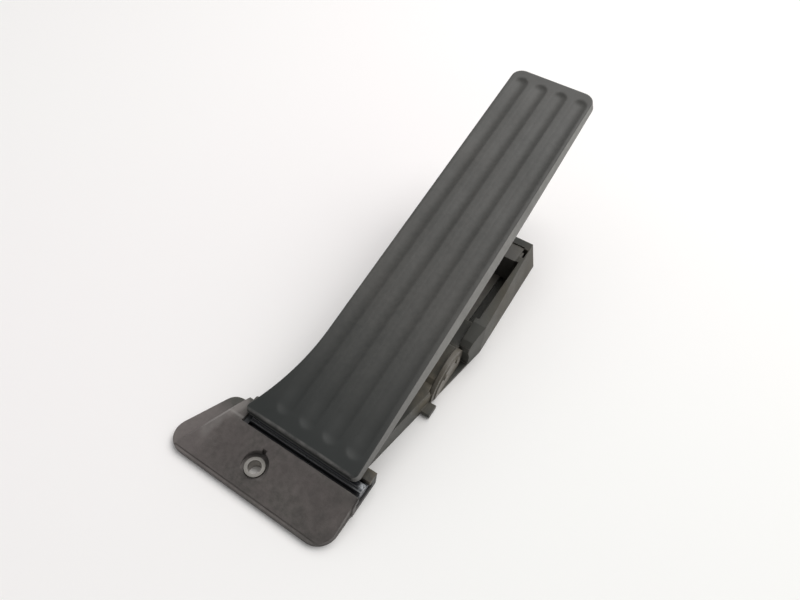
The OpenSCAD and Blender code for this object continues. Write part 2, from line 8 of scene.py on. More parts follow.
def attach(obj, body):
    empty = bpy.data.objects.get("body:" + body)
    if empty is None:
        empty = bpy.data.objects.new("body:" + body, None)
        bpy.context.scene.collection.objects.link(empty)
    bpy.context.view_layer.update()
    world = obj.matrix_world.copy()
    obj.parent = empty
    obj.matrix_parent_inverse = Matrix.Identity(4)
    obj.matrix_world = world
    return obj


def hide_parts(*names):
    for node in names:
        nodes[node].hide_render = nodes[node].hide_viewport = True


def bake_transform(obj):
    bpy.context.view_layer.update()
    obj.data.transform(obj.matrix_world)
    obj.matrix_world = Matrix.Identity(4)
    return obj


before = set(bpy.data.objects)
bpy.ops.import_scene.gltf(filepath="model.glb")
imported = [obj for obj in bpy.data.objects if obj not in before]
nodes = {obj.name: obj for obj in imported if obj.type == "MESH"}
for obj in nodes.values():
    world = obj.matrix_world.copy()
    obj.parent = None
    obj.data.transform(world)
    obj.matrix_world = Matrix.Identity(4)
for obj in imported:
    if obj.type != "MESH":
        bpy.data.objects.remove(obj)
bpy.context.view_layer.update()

scene = bpy.context.scene
scene.view_settings.view_transform = "Standard"

# --- Camera, light and table ---
# The pedal is seen from above its foot plate, looking along the treadle, on a white table under broad
# daylight from beyond the tip.

camera = bpy.data.objects.new("camera", bpy.data.cameras.new("camera"))
scene.collection.objects.link(camera)
camera.data.sensor_width = 36.0
camera.data.lens = 36.0 * 560 / 800
camera.data.clip_start = 0.01
right, down, ahead = (0.52256, -0.84638, 0.10278), (-0.60992, -0.45533, -0.6486), (0.59576, 0.27624, -0.75416)
camera.matrix_world = Matrix((
    (right[0], -down[0], -ahead[0], -0.07006),
    (right[1], -down[1], -ahead[1], -0.0907),
    (right[2], -down[2], -ahead[2], 0.25189),
    (0, 0, 0, 1)))
scene.camera = camera


def softbox(name, place, aim, size, power, colour):
    lamp = bpy.data.lights.new(name, "AREA")
    lamp.shape = "RECTANGLE"
    lamp.size, lamp.size_y = size
    lamp.energy = power
    lamp.color = colour
    holder = bpy.data.objects.new(name, lamp)
    scene.collection.objects.link(holder)
    holder.location = place
    holder.rotation_euler = (Vector(aim) - Vector(place)).to_track_quat("-Z", "Y").to_euler()


softbox("window", (0.85, -0.25, 1.3), (0.14, -0.02, 0.04), (1.5, 1.3), 16.5, (1.0, 0.99, 0.975))
softbox("left_fill", (-0.25, 1.15, 1.0), (0.1, 0, 0.03), (1.2, 1.0), 1.2, (1.0, 0.99, 0.985))


def remap(tree, value, low, high, to_low=0.0, to_high=1.0):
    """Maps a value from one range to another, held at both ends."""
    node = tree.nodes.new("ShaderNodeMapRange")
    node.inputs["From Min"].default_value = low
    node.inputs["From Max"].default_value = high
    node.inputs["To Min"].default_value = to_low
    node.inputs["To Max"].default_value = to_high
    tree.links.new(value, node.inputs["Value"])
    return node.outputs["Result"]


# the room is brighter beyond the tip than at the near end, dimmer on the left and darkest behind the camera
DARK_WAY = (-0.33, -0.36, 0.87)
room = bpy.data.worlds.new("room")
scene.world = room
room.use_nodes = True
sky = room.node_tree
heading = sky.nodes.new("ShaderNodeTexCoord").outputs["Generated"]
axes = sky.nodes.new("ShaderNodeSeparateXYZ")
sky.links.new(heading, axes.inputs["Vector"])
toward = sky.nodes.new("ShaderNodeVectorMath")
toward.operation = "DOT_PRODUCT"
toward.inputs[1].default_value = DARK_WAY
sky.links.new(heading, toward.inputs[0])
strength = remap(sky, axes.outputs["X"], -0.7, 0.8, 0.54, 0.9)
left_share = remap(sky, axes.outputs["Y"], -0.1, 0.9, 1.0, 0.5)
dark_share = remap(sky, toward.outputs["Value"], 0.78, 0.95, 1.0, 0.12)
for share in (left_share, dark_share):
    product = sky.nodes.new("ShaderNodeMath")
    product.operation = "MULTIPLY"
    sky.links.new(strength, product.inputs[0])
    sky.links.new(share, product.inputs[1])
    strength = product.outputs["Value"]
sky.links.new(strength, sky.nodes["Background"].inputs["Strength"])
sky.nodes["Background"].inputs["Color"].default_value = (0.975, 0.985, 1.0, 1)

table_mesh = bpy.data.meshes.new("table")
REACH = 4.0
corners = [(-REACH, -REACH, 0), (REACH, -REACH, 0), (REACH, REACH, 0), (-REACH, REACH, 0)]
table_mesh.from_pydata(corners, [], [(0, 1, 2, 3)])
table = bpy.data.objects.new("table", table_mesh)
scene.collection.objects.link(table)
paper = bpy.data.materials.new("white_table")
paper.use_nodes = True
tree = paper.node_tree
shader = tree.nodes["Principled BSDF"]
shader.inputs["Roughness"].default_value = 0.75
shader.inputs["Specular IOR Level"].default_value = 0.2
patches = tree.nodes.new("ShaderNodeTexNoise")
patches.inputs["Scale"].default_value = 1.6
patches.inputs["Detail"].default_value = 1.0
tint = tree.nodes.new("ShaderNodeValToRGB")
tint.color_ramp.elements[0].position = 0.35
tint.color_ramp.elements[0].color = (0.96, 0.93, 0.925, 1)
tint.color_ramp.elements[1].position = 0.65
tint.color_ramp.elements[1].color = (0.95, 0.945, 0.925, 1)
where = tree.nodes.new("ShaderNodeTexCoord")
tree.links.new(where.outputs["Object"], patches.inputs["Vector"])
tree.links.new(patches.outputs["Fac"], tint.inputs["Fac"])
tree.links.new(tint.outputs["Color"], shader.inputs["Base Color"])
table_mesh.materials.append(paper)

# --- Base housing and foot plate ---
# One large moulding of glass filled nylon: foot plate, hinge channel, housing and outer walls. It is
# matt and finely grained, handled smooth on the foot plate and dusty along the outer wall.


def socket(group, name, kind, way, value=None):
    item = group.interface.new_socket(name, in_out=way, socket_type=kind)
    if value is not None:
        item.default_value = value
    return item


def mould_grain_group():
    """Fine moulded grain: a height for the bump, and slow patches of tone."""
    g = bpy.data.node_groups.new("mould_grain", "ShaderNodeTree")
    socket(g, "Vector", "NodeSocketVector", "INPUT")
    socket(g, "Grain size", "NodeSocketFloat", "INPUT", 1200.0)
    socket(g, "Patch size", "NodeSocketFloat", "INPUT", 25.0)
    socket(g, "Height", "NodeSocketFloat", "OUTPUT")
    socket(g, "Patches", "NodeSocketFloat", "OUTPUT")
    n, ln = g.nodes, g.links
    gin, gout = n.new("NodeGroupInput"), n.new("NodeGroupOutput")
    fine = n.new("ShaderNodeTexNoise")
    fine.inputs["Detail"].default_value = 3.0
    fine.inputs["Roughness"].default_value = 0.6
    slow = n.new("ShaderNodeTexNoise")
    slow.inputs["Detail"].default_value = 5.0
    slow.inputs["Roughness"].default_value = 0.62
    ln.new(gin.outputs["Vector"], fine.inputs["Vector"])
    ln.new(gin.outputs["Vector"], slow.inputs["Vector"])
    ln.new(gin.outputs["Grain size"], fine.inputs["Scale"])
    ln.new(gin.outputs["Patch size"], slow.inputs["Scale"])
    ln.new(fine.outputs["Fac"], gout.inputs["Height"])
    ln.new(slow.outputs["Fac"], gout.inputs["Patches"])
    return g


def worn_and_lit_edges_group():
    """A mask along convex and concave edges, from the difference a small bevel would make."""
    g = bpy.data.node_groups.new("worn_edges", "ShaderNodeTree")
    socket(g, "Radius", "NodeSocketFloat", "INPUT", 0.0006)
    socket(g, "Mask", "NodeSocketFloat", "OUTPUT")
    socket(g, "Normal", "NodeSocketVector", "OUTPUT")
    n, ln = g.nodes, g.links
    gin, gout = n.new("NodeGroupInput"), n.new("NodeGroupOutput")
    bevel = n.new("ShaderNodeBevel")
    bevel.samples = 6
    geo = n.new("ShaderNodeNewGeometry")
    dot = n.new("ShaderNodeVectorMath")
    dot.operation = "DOT_PRODUCT"
    ramp = n.new("ShaderNodeMapRange")
    ramp.inputs["From Min"].default_value = 0.99
    ramp.inputs["From Max"].default_value = 0.8
    ln.new(gin.outputs["Radius"], bevel.inputs["Radius"])
    ln.new(bevel.outputs["Normal"], dot.inputs[0])
    ln.new(geo.outputs["True Normal"], dot.inputs[1])
    ln.new(dot.outputs["Value"], ramp.inputs["Value"])
    ln.new(ramp.outputs["Result"], gout.inputs["Mask"])
    ln.new(bevel.outputs["Normal"], gout.inputs["Normal"])
    return g


def dust_and_sheen_group():
    """A mask for settled dust, and for a painted sheen on the treadle's right side: on faces that look up or
    to one side, in soft patches.
    """
    g = bpy.data.node_groups.new("settled_dust", "ShaderNodeTree")
    socket(g, "Vector", "NodeSocketVector", "INPUT")
    socket(g, "Facing", "NodeSocketVector", "INPUT", (0.0, 0.0, 1.0))
    socket(g, "Amount", "NodeSocketFloat", "INPUT", 0.4)
    socket(g, "Patch size", "NodeSocketFloat", "INPUT", 60.0)
    socket(g, "Mask", "NodeSocketFloat", "OUTPUT")
    n, ln = g.nodes, g.links
    gin, gout = n.new("NodeGroupInput"), n.new("NodeGroupOutput")
    geo = n.new("ShaderNodeNewGeometry")
    dot = n.new("ShaderNodeVectorMath")
    dot.operation = "DOT_PRODUCT"
    face = n.new("ShaderNodeMapRange")
    face.inputs["From Min"].default_value = 0.0
    face.inputs["From Max"].default_value = 0.9
    cloud = n.new("ShaderNodeTexNoise")
    cloud.inputs["Detail"].default_value = 6.0
    cloud.inputs["Roughness"].default_value = 0.65
    spread = n.new("ShaderNodeMapRange")
    spread.inputs["From Min"].default_value = 0.38
    spread.inputs["From Max"].default_value = 0.68
    speck = n.new("ShaderNodeMath")
    speck.operation = "MULTIPLY"
    out = n.new("ShaderNodeMath")
    out.operation = "MULTIPLY"
    out.use_clamp = True
    ln.new(geo.outputs["True Normal"], dot.inputs[0])
    ln.new(gin.outputs["Facing"], dot.inputs[1])
    ln.new(dot.outputs["Value"], face.inputs["Value"])
    ln.new(gin.outputs["Vector"], cloud.inputs["Vector"])
    ln.new(gin.outputs["Patch size"], cloud.inputs["Scale"])
    ln.new(cloud.outputs["Fac"], spread.inputs["Value"])
    ln.new(spread.outputs["Result"], speck.inputs[0])
    ln.new(face.outputs["Result"], speck.inputs[1])
    ln.new(speck.outputs["Value"], out.inputs[0])
    ln.new(gin.outputs["Amount"], out.inputs[1])
    ln.new(out.outputs["Value"], gout.inputs["Mask"])
    return g


mould_grain = mould_grain_group()
worn_edges = worn_and_lit_edges_group()
settled_dust = dust_and_sheen_group()


def group_node(tree, group, **values):
    node = tree.nodes.new("ShaderNodeGroup")
    node.node_tree = group
    for name, value in values.items():
        node.inputs[name.replace("_", " ")].default_value = value
    return node


def blend_colour(tree, mask, first, second):
    """Mixes two colours by a mask; each is a plain colour or an output socket."""
    mix = tree.nodes.new("ShaderNodeMix")
    mix.data_type = "RGBA"
    tree.links.new(mask, mix.inputs["Factor"])
    for spot, value in (("A", first), ("B", second)):
        place = [s for s in mix.inputs if s.name == spot and s.type == "RGBA"][0]
        if isinstance(value, tuple):
            place.default_value = (*value, 1)
        else:
            tree.links.new(value, place)
    return [s for s in mix.outputs if s.type == "RGBA"][0]


def moulded_plastic(name, dark, light, rough=(0.42, 0.58), grain=0.12,
                    edge_wear_and_highlight=0.25, edge_wear_and_highlight_colour=(0.16, 0.155, 0.145),
                    dust=0.0, facing=(0, 0, 1), dust_colour=(0.19, 0.17, 0.13), dust_size=60.0,
                    radius=0.0006):
    """Dark moulded plastic: patches of tone, paler edges that are partly rubbed wear and partly painted
    highlight, settled dust and a fine grain.
    """
    mat = bpy.data.materials.new(name)
    mat.use_nodes = True
    tree = mat.node_tree
    shader = tree.nodes["Principled BSDF"]
    where = tree.nodes.new("ShaderNodeTexCoord").outputs["Object"]
    tone = group_node(tree, mould_grain, Grain_size=1500.0, Patch_size=28.0)
    tree.links.new(where, tone.inputs["Vector"])
    edges = group_node(tree, worn_edges, Radius=radius)
    colour = blend_colour(tree, remap(tree, tone.outputs["Patches"], 0.35, 0.68), dark, light)
    # paler edges: partly rubbed wear, partly a painted highlight where an edge would catch the light
    paler_share = remap(tree, edges.outputs["Mask"], 0, 1, 0, edge_wear_and_highlight)
    colour = blend_colour(tree, paler_share, colour, edge_wear_and_highlight_colour)
    roughness = remap(tree, tone.outputs["Patches"], 0.3, 0.7, rough[1], rough[0])
    if dust:
        film = group_node(tree, settled_dust, Amount=dust, Facing=facing, Patch_size=dust_size)
        tree.links.new(where, film.inputs["Vector"])
        colour = blend_colour(tree, film.outputs["Mask"], colour, dust_colour)
    tree.links.new(colour, shader.inputs["Base Color"])
    tree.links.new(roughness, shader.inputs["Roughness"])
    bump = tree.nodes.new("ShaderNodeBump")
    bump.inputs["Strength"].default_value = grain
    bump.inputs["Distance"].default_value = 0.0002
    tree.links.new(tone.outputs["Height"], bump.inputs["Height"])
    tree.links.new(edges.outputs["Normal"], bump.inputs["Normal"])
    tree.links.new(bump.outputs["Normal"], shader.inputs["Normal"])
    return mat


def finish_node(node, material):
    mesh = nodes[node].data
    mesh.materials.clear()
    mesh.materials.append(material)


def coloured_place(mat, centre, reach, amount, tint, patchy, patch_size):
    """Tints one rounded region of a material, in soft patches, such as caked dust or a painted highlight on a
    crest.
    """
    tree = mat.node_tree
    shader = tree.nodes["Principled BSDF"]
    where = tree.nodes.new("ShaderNodeTexCoord").outputs["Object"]
    away = tree.nodes.new("ShaderNodeVectorMath")
    away.operation = "SUBTRACT"
    away.inputs[1].default_value = centre
    scaled = tree.nodes.new("ShaderNodeVectorMath")
    scaled.operation = "DIVIDE"
    scaled.inputs[1].default_value = reach
    far = tree.nodes.new("ShaderNodeVectorMath")
    far.operation = "LENGTH"
    tree.links.new(where, away.inputs[0])
    tree.links.new(away.outputs[0], scaled.inputs[0])
    tree.links.new(scaled.outputs[0], far.inputs[0])
    near = remap(tree, far.outputs["Value"], 1.0, 0.55, 0, amount)
    tone = group_node(tree, mould_grain, Grain_size=900.0, Patch_size=patch_size)
    tree.links.new(where, tone.inputs["Vector"])
    spots = remap(tree, tone.outputs["Patches"], 0.36, 0.62, 1.0 - patchy, 1.0)
    mask = tree.nodes.new("ShaderNodeMath")
    mask.operation = "MULTIPLY"
    tree.links.new(near, mask.inputs[0])
    tree.links.new(spots, mask.inputs[1])
    below = shader.inputs["Base Color"].links[0].from_socket
    tree.links.new(blend_colour(tree, mask.outputs["Value"], below, tint), shader.inputs["Base Color"])


# the strong pale edge colour paints highlights along the housing's edges, on top of some rubbed wear
housing_plastic = moulded_plastic("housing_plastic", (0.044, 0.0445, 0.039), (0.066, 0.066, 0.058),
                                  rough=(0.46, 0.6), dust=0.2, facing=(0, -0.9, 0.4),
                                  dust_colour=(0.08, 0.073, 0.055), edge_wear_and_highlight=0.8, grain=0.3,
                                  edge_wear_and_highlight_colour=(0.24, 0.225, 0.2), radius=0.0008)

# the foot plate is warmer, with a paler flange on its left and a painted highlight along the crest between
# them
FOOT_PLACE = ((-0.004, 0.002, 0.006), (0.034, 0.085, 0.03))
coloured_place(housing_plastic, *FOOT_PLACE, 0.9, (0.116, 0.1, 0.095), 0.6, 55.0)
coloured_place(housing_plastic, (-0.002, 0.037, 0.004), (0.024, 0.014, 0.012), 0.8, (0.16, 0.139, 0.134),
               0.4, 45.0)
# painted highlight: a row of pale spots along the crest, where it would catch the light
for x in (0.003, 0.0085, 0.014, 0.0185):
    on_crest = (x, 0.0311 - 0.38 * x, 0.006 + 0.32 * x)
    coloured_place(housing_plastic, on_crest, (0.0062, 0.0036, 0.004), 0.95, (0.21, 0.193, 0.183), 0.4, 90.0)
# the outer wall, painted shade in the hinge's corner with dust behind it, the pocket's near edge and the
# sensor's seat
for place in (
        ((0.172, -0.055, 0.012), (0.058, 0.014, 0.03), 0.85, (0.056, 0.047, 0.03), 0.7, 70.0),
        # painted shade: the housing by the hinge's end is darkened nearly to black
        ((0.019, -0.05, 0.009), (0.013, 0.009, 0.013), 0.85, (0.014, 0.015, 0.016), 0.2, 60.0),
        ((0.024, -0.0445, 0.0115), (0.009, 0.007, 0.004), 0.6, (0.13, 0.108, 0.07), 0.9, 150.0),
        ((0.124, -0.048, 0.017), (0.006, 0.01, 0.004), 0.4, (0.08, 0.075, 0.055), 0.6, 70.0),
        ((0.086, -0.045, 0.01), (0.026, 0.01, 0.014), 0.85, (0.15, 0.13, 0.095), 0.6, 110.0)):
    coloured_place(housing_plastic, *place)
# scuffs over the foot plate, darker patches, and a painted highlight along the lip of the hinge channel
coloured_place(housing_plastic, *FOOT_PLACE, 0.26, (0.19, 0.168, 0.158), 1.0, 420.0)
coloured_place(housing_plastic, (0.0, -0.014, 0.008), (0.02, 0.07, 0.02), 0.35, (0.05, 0.043, 0.042),
               1.0, 95.0)
# painted highlight: a thin pale line along the channel's lip
coloured_place(housing_plastic, (0.0138, -0.0165, 0.0112), (0.0012, 0.062, 0.0024), 0.9, (0.3, 0.285, 0.27),
               0.6, 160.0)
housing_plastic.node_tree.nodes["Principled BSDF"].inputs["Specular IOR Level"].default_value = 0.3
finish_node("base_housing", housing_plastic)

# --- Bolt sleeves ---
# Rolled steel sleeves pressed into the moulding so that the bolts don't crush it, bright zinc plated
# with fine turned rings.


def plated_steel(name, colour, rough, grain=0.1, soot=(0.12, 0.11, 0.1), soot_amount=0.35):
    mat = bpy.data.materials.new(name)
    mat.use_nodes = True
    tree = mat.node_tree
    shader = tree.nodes["Principled BSDF"]
    shader.inputs["Metallic"].default_value = 1.0
    where = tree.nodes.new("ShaderNodeTexCoord").outputs["Object"]
    tone = group_node(tree, mould_grain, Grain_size=2400.0, Patch_size=160.0)
    tree.links.new(where, tone.inputs["Vector"])
    dirty = remap(tree, tone.outputs["Patches"], 0.45, 0.75, 0, soot_amount)
    tree.links.new(blend_colour(tree, dirty, colour, soot), shader.inputs["Base Color"])
    roughness = remap(tree, tone.outputs["Patches"], 0.3, 0.7, rough, rough + 0.2)
    tree.links.new(roughness, shader.inputs["Roughness"])
    bump = tree.nodes.new("ShaderNodeBump")
    bump.inputs["Strength"].default_value = grain
    bump.inputs["Distance"].default_value = 0.0001
    tree.links.new(tone.outputs["Height"], bump.inputs["Height"])
    tree.links.new(bump.outputs["Normal"], shader.inputs["Normal"])
    return mat


zinc = plated_steel("zinc_plate", (0.21, 0.2, 0.185), 0.45)
# painted reflection: the foot sleeve is tinted much paler low down, round its hole
coloured_place(zinc, (0, 0, 0.002), (0.008, 0.008, 0.006), 1.0, (0.5, 0.48, 0.455), 0.2, 200.0)
finish_node("foot_sleeve", zinc)
finish_node("upper_sleeves", zinc)

# --- Angle sensor ---
# A magnet on the shaft's end turns in front of a small board with two chips, in a chamber closed by a
# dull moulded cover with two press studs.

black_moulding = moulded_plastic("black_moulding", (0.036, 0.036, 0.034), (0.054, 0.054, 0.051), edge_wear_and_highlight=0.15)
cover_moulding = moulded_plastic("cover_moulding", (0.095, 0.086, 0.071), (0.15, 0.134, 0.11), dust=0.6,
                                 edge_wear_and_highlight=0.25, facing=(0, -0.7, 0.7), dust_colour=(0.13, 0.112, 0.085))
resist = moulded_plastic("solder_resist", (0.01, 0.055, 0.028), (0.015, 0.08, 0.04), rough=(0.2, 0.3),
                         grain=0.03, edge_wear_and_highlight=0.1)
nickel = plated_steel("nickel", (0.55, 0.54, 0.5), 0.2)
tinned = plated_steel("tinned_copper", (0.72, 0.56, 0.34), 0.28)
gasket = moulded_plastic("gasket", (0.012, 0.012, 0.012), (0.02, 0.02, 0.02), rough=(0.6, 0.8), edge_wear_and_highlight=0.0)
finish_node("sensor_cover", cover_moulding)
finish_node("sensor_cover_screws", cover_moulding)
finish_node("sensor_board", resist)
finish_node("hall_chips", black_moulding)
finish_node("sensor_magnet", nickel)
finish_node("magnet_carrier", black_moulding)
finish_node("sensor_seal", gasket)

# --- Connector ---
# A separate moulded block clipped into the end of the housing, with a keyed mouth round six tinned
# pins; flat leads run to it along the pocket's floor.

connector_moulding = moulded_plastic("connector_moulding", (0.072, 0.068, 0.06), (0.11, 0.103, 0.09),
                                     dust=0.35, edge_wear_and_highlight=0.4)
finish_node("connector_shroud", connector_moulding)
finish_node("connector_pins", tinned)
finish_node("lead_frame", tinned)
finish_node("lead_cover", connector_moulding)

# --- Bottom cover ---
# A flat plate screwed into the underside, which closes the lever's room and holds the springs' ends.

finish_node("bottom_cover", black_moulding)


def shape_tree(name, *inputs):
    """A geometry tree with named inputs; returns it with its input node and a way to wire it."""
    tree = bpy.data.node_groups.new(name, "GeometryNodeTree")
    tree.interface.new_socket("Geometry", in_out="INPUT", socket_type="NodeSocketGeometry")
    for label, kind in inputs:
        tree.interface.new_socket(label, in_out="INPUT", socket_type=kind)
    tree.interface.new_socket("Material", in_out="INPUT", socket_type="NodeSocketMaterial")
    tree.interface.new_socket("Geometry", in_out="OUTPUT", socket_type="NodeSocketGeometry")
    return tree, tree.nodes.new("NodeGroupInput")


def end_tree(tree, gin, shape):
    """Ends a geometry tree in real geometry with its material."""
    real = tree.nodes.new("GeometryNodeRealizeInstances")
    paint = tree.nodes.new("GeometryNodeSetMaterial")
    out = tree.nodes.new("NodeGroupOutput")
    tree.links.new(shape, real.inputs["Geometry"])
    tree.links.new(real.outputs["Geometry"], paint.inputs["Geometry"])
    tree.links.new(gin.outputs["Material"], paint.inputs["Material"])
    tree.links.new(paint.outputs["Geometry"], out.inputs["Geometry"])


def grow(name, tree, verts, edges, **values):
    """Puts a geometry tree on a mesh of points and edges, and turns the result into a plain mesh."""
    seed = bpy.data.meshes.new(name)
    seed.from_pydata(verts, edges, [])
    piece = bpy.data.objects.new(name, seed)
    scene.collection.objects.link(piece)
    modifier = piece.modifiers.new("shape", "NODES")
    modifier.node_group = tree
    for item in tree.interface.items_tree:
        key = item.name.replace(" ", "_")
        if item.in_out == "INPUT" and key in values:
            modifier[item.identifier] = values[key]
    grown = bpy.data.meshes.new_from_object(piece.evaluated_get(bpy.context.evaluated_depsgraph_get()))
    piece.modifiers.clear()
    piece.data = grown
    return piece


def screw_tree():
    """Flat screw heads with a cross recess, one on each point, looking down."""
    tree, gin = shape_tree("cover_screws",
                           ("Head diameter", "NodeSocketFloat"), ("Head height", "NodeSocketFloat"),
                           ("Shank diameter", "NodeSocketFloat"), ("Length", "NodeSocketFloat"))
    n, ln = tree.nodes, tree.links

    def half(value):
        node = n.new("ShaderNodeMath")
        node.operation = "MULTIPLY"
        node.inputs[1].default_value = 0.5
        ln.new(value, node.inputs[0])
        return node.outputs["Value"]

    def lifted(mesh, height):
        move = n.new("GeometryNodeTransform")
        place = n.new("ShaderNodeCombineXYZ")
        ln.new(half(height), place.inputs["Z"])
        ln.new(mesh, move.inputs["Geometry"])
        ln.new(place.outputs["Vector"], move.inputs["Translation"])
        return move.outputs["Geometry"]

    parts = []
    for wide, tall in (("Head diameter", "Head height"), ("Shank diameter", "Length")):
        rod = n.new("GeometryNodeMeshCylinder")
        rod.inputs["Vertices"].default_value = 40
        ln.new(half(gin.outputs[wide]), rod.inputs["Radius"])
        ln.new(gin.outputs[tall], rod.inputs["Depth"])
        parts.append(lifted(rod.outputs["Mesh"], gin.outputs[tall]))
    recess = n.new("GeometryNodeMeshBoolean")
    recess.operation = "DIFFERENCE"
    ln.new(parts[0], recess.inputs["Mesh 1"])
    for turn in (0, 1):
        slot = n.new("GeometryNodeMeshCube")
        slot.inputs["Size"].default_value = (0.0031, 0.0008, 0.0009) if turn else (0.0008, 0.0031, 0.0009)
        ln.new(slot.outputs["Mesh"], recess.inputs["Mesh 2"])
    both = n.new("GeometryNodeJoinGeometry")
    ln.new(parts[1], both.inputs["Geometry"])
    ln.new(recess.outputs["Mesh"], both.inputs["Geometry"])
    put = n.new("GeometryNodeInstanceOnPoints")
    ln.new(gin.outputs["Geometry"], put.inputs["Points"])
    ln.new(both.outputs["Geometry"], put.inputs["Instance"])
    end_tree(tree, gin, put.outputs["Instances"])
    return tree


MIDLINE_Y, SCREW_HALF_SPACING, HEAD_FACE_Z = -0.016, 0.0245, 0.0001
screw_points = [(x, MIDLINE_Y + side * SCREW_HALF_SPACING, HEAD_FACE_Z)
                for x in (0.081, 0.119) for side in (-1, 1)]
cover_screws = grow("cover_screws", screw_tree(), screw_points, [], Head_diameter=0.0052,
                    Head_height=0.0008, Shank_diameter=0.0028, Length=0.0079, Material=zinc)
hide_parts("bottom_cover_screws")
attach(cover_screws, "base")

# --- Lever, shaft and roller ---
# A glass filled nylon lever on a ground steel shaft, with a pale acetal roller in its fork and pale
# acetal bushes and friction shoe.

acetal = moulded_plastic("acetal", (0.6, 0.58, 0.5), (0.68, 0.66, 0.58), rough=(0.3, 0.42), grain=0.03,
                         edge_wear_and_highlight=0.1, edge_wear_and_highlight_colour=(0.4, 0.38, 0.32))
ground_steel = plated_steel("ground_steel", (0.6, 0.6, 0.6), 0.22)
finish_node("drive_lever", black_moulding)
finish_node("lever_roller", acetal)
finish_node("shaft_bushes", acetal)
finish_node("friction_shoe", acetal)
finish_node("lever_shaft", ground_steel)
finish_node("roller_pin", ground_steel)

# --- Return springs ---
# Two torsion springs of oiled wire round the shaft, one on each side of the hub.

spring_wire = plated_steel("spring_wire", (0.3, 0.3, 0.31), 0.32)
SHAFT = (0.096, MIDLINE_Y, 0.0096)
COIL_D, WIRE_D, TURNS, LEG = 0.0096, 0.0016, 4, 0.013
COIL_Y0, COIL_PITCH, LEG_ANGLE = 0.0096, 0.00185, math.radians(13.35)


def wire_tree():
    """A round wire along a line of points."""
    tree, gin = shape_tree("spring_wire", ("Wire diameter", "NodeSocketFloat"))
    n, ln = tree.nodes, tree.links
    path = n.new("GeometryNodeMeshToCurve")
    ring = n.new("GeometryNodeCurvePrimitiveCircle")
    ring.inputs["Resolution"].default_value = 14
    radius = n.new("ShaderNodeMath")
    radius.operation = "MULTIPLY"
    radius.inputs[1].default_value = 0.5
    sweep = n.new("GeometryNodeCurveToMesh")
    sweep.inputs["Fill Caps"].default_value = True
    smooth = n.new("GeometryNodeSetShadeSmooth")
    ln.new(gin.outputs["Wire diameter"], radius.inputs[0])
    ln.new(radius.outputs["Value"], ring.inputs["Radius"])
    ln.new(gin.outputs["Geometry"], path.inputs["Mesh"])
    ln.new(path.outputs["Curve"], sweep.inputs["Curve"])
    ln.new(ring.outputs["Curve"], sweep.inputs["Profile Curve"])
    ln.new(sweep.outputs["Mesh"], smooth.inputs["Geometry"])
    end_tree(tree, gin, smooth.outputs["Geometry"])
    return tree


spring_shape = wire_tree()
for side, spring_name in ((1, "return_spring_left"), (-1, "return_spring_right")):
    line = []
    steps = TURNS * 28
    sweep_angle = 2 * math.pi * TURNS - LEG_ANGLE
    for k in range(steps + 1):
        angle = -LEG_ANGLE - sweep_angle * k / steps
        along = TURNS * COIL_PITCH * k / steps
        line.append((COIL_D / 2 * math.sin(angle), along, -COIL_D / 2 * math.cos(angle)))
    first, last = line[0], line[-1]
    line.insert(0, (first[0] + LEG * math.cos(LEG_ANGLE), 0, first[2] + LEG * math.sin(LEG_ANGLE)))
    line.append((-LEG, TURNS * COIL_PITCH, -COIL_D / 2))
    line = [(SHAFT[0] + p[0], SHAFT[1] + side * (COIL_Y0 + p[1]), SHAFT[2] + p[2]) for p in line]
    spring = grow(spring_name + "_wire", spring_shape, line, [(k, k + 1) for k in range(len(line) - 1)],
                  Wire_diameter=WIRE_D, Material=spring_wire)
    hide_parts(spring_name)
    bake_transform(spring)

# --- Hinge ---
# The treadle bends on a thin web of its own plastic, which ends in a rail slid into the base's
# channel; it is smooth and nearly black.

# its pale edge colour paints highlights along the rail's ridges, on top of some rubbed wear
hinge_plastic = moulded_plastic("hinge_plastic", (0.008, 0.009, 0.011), (0.016, 0.017, 0.02),
                                rough=(0.25, 0.4), grain=0.05, edge_wear_and_highlight=0.8, edge_wear_and_highlight_colour=(0.16, 0.165, 0.17),
                                radius=0.0003)
# painted highlights: a pale line along the rail's front bead, and pale glints on its cut end
coloured_place(hinge_plastic, (0.0152, -0.0165, 0.0117), (0.0009, 0.062, 0.0008), 0.8, (0.17, 0.172, 0.175),
               0.6, 200.0)
coloured_place(hinge_plastic, (0.019, -0.0468, 0.009), (0.006, 0.003, 0.005), 1.0, (0.4, 0.42, 0.44),
               1.0, 700.0)


def long_bar(name, outline, y0, y1, material, soften=0.00015, stations=1):
    """A bar across the pedal with the given outline in length and height, its edges slightly rounded."""
    bm = bmesh.new()
    rings = []
    for k in range(stations + 1):
        y = y0 + (y1 - y0) * k / stations
        rings.append([bm.verts.new((x, y, z)) for x, z in outline])
    for a, b in zip(rings, rings[1:]):
        for i in range(len(outline)):
            j = (i + 1) % len(outline)
            bm.faces.new((a[i], a[j], b[j], b[i]))
    bm.faces.new(rings[0])
    bm.faces.new(rings[-1])
    bmesh.ops.recalc_face_normals(bm, faces=bm.faces)
    if soften:
        sharp = [e for e in bm.edges if len(e.link_faces) == 2 and e.calc_face_angle(0) > 0.5]
        bmesh.ops.bevel(bm, geom=sharp, offset=soften, segments=2, affect="EDGES")
    mesh = bpy.data.meshes.new(name)
    bm.to_mesh(mesh)
    bm.free()
    mesh.materials.append(material)
    piece = bpy.data.objects.new(name, mesh)
    scene.collection.objects.link(piece)
    return piece


